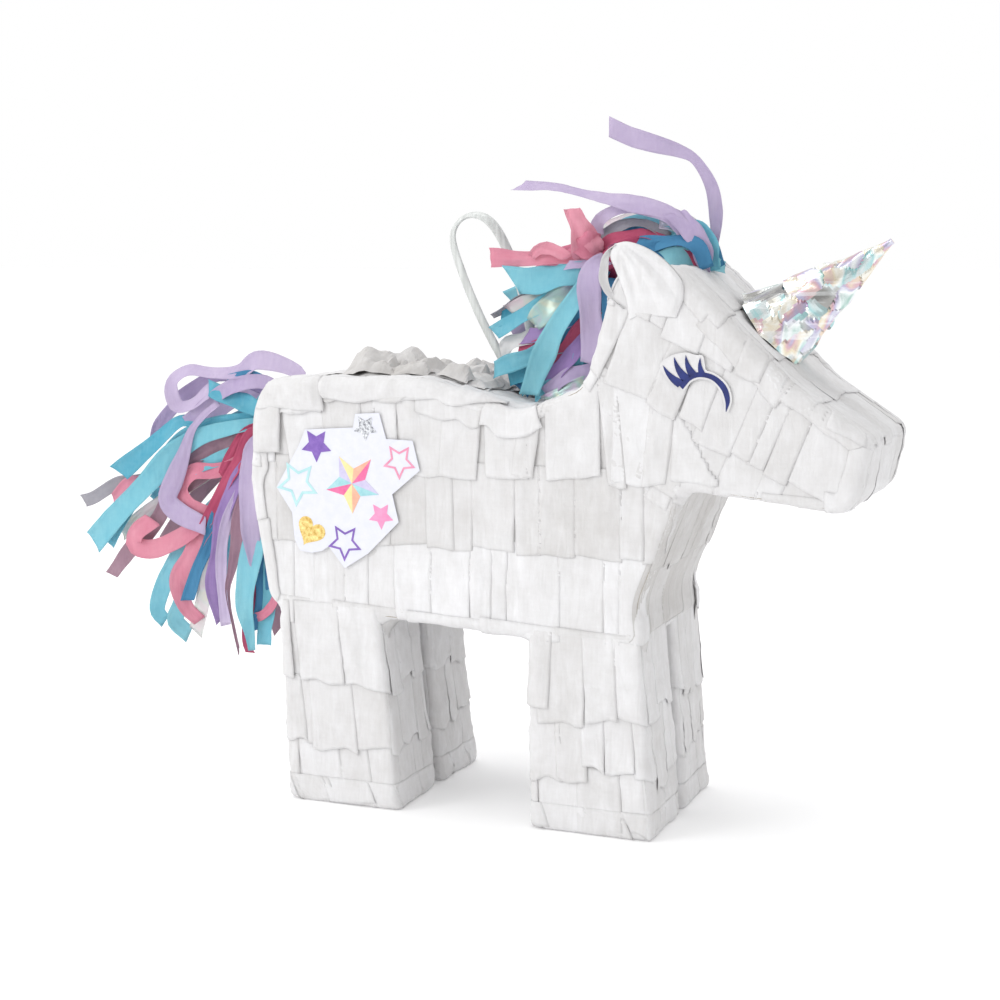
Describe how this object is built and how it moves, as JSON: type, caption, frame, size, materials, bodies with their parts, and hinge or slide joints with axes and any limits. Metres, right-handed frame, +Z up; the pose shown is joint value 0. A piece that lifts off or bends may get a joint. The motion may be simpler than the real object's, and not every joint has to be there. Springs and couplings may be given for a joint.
{
  "type": "unicorn pinata",
  "caption": "Small standing unicorn-shaped pinata: a hollow card body in white fringed tissue, with foil horn, ribbon mane and tail, fill flap and hanging loop.",
  "frame": {"origin": "On the ground, at the centre of the whole piece from nose to tail tip and from side to side", "axes": "+X points from the tail to the nose, +Y to the animal's left side, +Z up"},
  "size_m": [0.3652, 0.0828, 0.2756],
  "materials": {
    "card": "matte",
    "white_tissue": "matte",
    "aqua_tissue": "matte",
    "lilac_tissue": "matte",
    "pink_tissue": "matte",
    "iridescent_film": "gloss",
    "holographic_foil": "polished",
    "clear_strap": "satin",
    "toggle_wood": "matte",
    "navy_ink": "satin",
    "star_sticker": "satin"
  },
  "bodies": {
    "pinata": {"right_side_panel": "card", "left_side_panel": "card", "back_panel": "card", "rump_panel": "card", "belly_panel": "card", "chest_panel": "card", "jaw_panel": "card", "muzzle_panel": "card", "forehead_panel": "card", "nape_panel": "card", "front_right_leg": "card", "front_left_leg": "card", "rear_right_leg": "card", "rear_left_leg": "card", "front_right_sole": "white_tissue", "front_left_sole": "white_tissue", "rear_right_sole": "white_tissue", "rear_left_sole": "white_tissue", "leg_tissue": "white_tissue", "right_belly_row": "white_tissue", "right_flank_row": "white_tissue", "right_shoulder_row": "white_tissue", "right_cheek_row": "white_tissue", "right_brow_row": "white_tissue", "left_belly_row": "white_tissue", "left_flank_row": "white_tissue", "left_shoulder_row": "white_tissue", "left_cheek_row": "white_tissue", "left_brow_row": "white_tissue", "back_tissue": "white_tissue", "rump_tissue": "white_tissue", "belly_tissue": "white_tissue", "chest_tissue": "white_tissue", "jaw_tissue": "white_tissue", "muzzle_tissue": "white_tissue", "forehead_tissue": "white_tissue", "nape_tissue": "white_tissue", "back_ruffle": "white_tissue", "right_ear": "white_tissue", "left_ear": "white_tissue", "horn_cone": "card", "horn_foil": "holographic_foil", "mane_strip": "lilac_tissue", "mane_right_bunch": "aqua_tissue", "mane_left_bunch": "aqua_tissue", "mane_crown_bunch": "lilac_tissue", "mane_tall_streamer": "lilac_tissue", "mane_rear_streamer": "lilac_tissue", "tail_binding": "lilac_tissue", "tail_upper_bunch": "aqua_tissue", "tail_lower_bunch": "pink_tissue", "hanging_loop": "clear_strap", "loop_toggle": "toggle_wood", "loop_patch": "card", "right_eye_sticker": "navy_ink", "left_eye_sticker": "navy_ink", "right_hip_sticker": "star_sticker", "left_hip_sticker": "star_sticker"},
    "flap": {"fill_flap": "card", "flap_ruffle": "white_tissue"}
  },
  "joints": [
    {"name": "flap_hinge", "type": "hinge", "parent": "pinata", "child": "flap", "pos_m": [-0.04072, 0, 0.174], "axis": [0, -1, 0], "range_deg": [0, 105]}
  ]
}
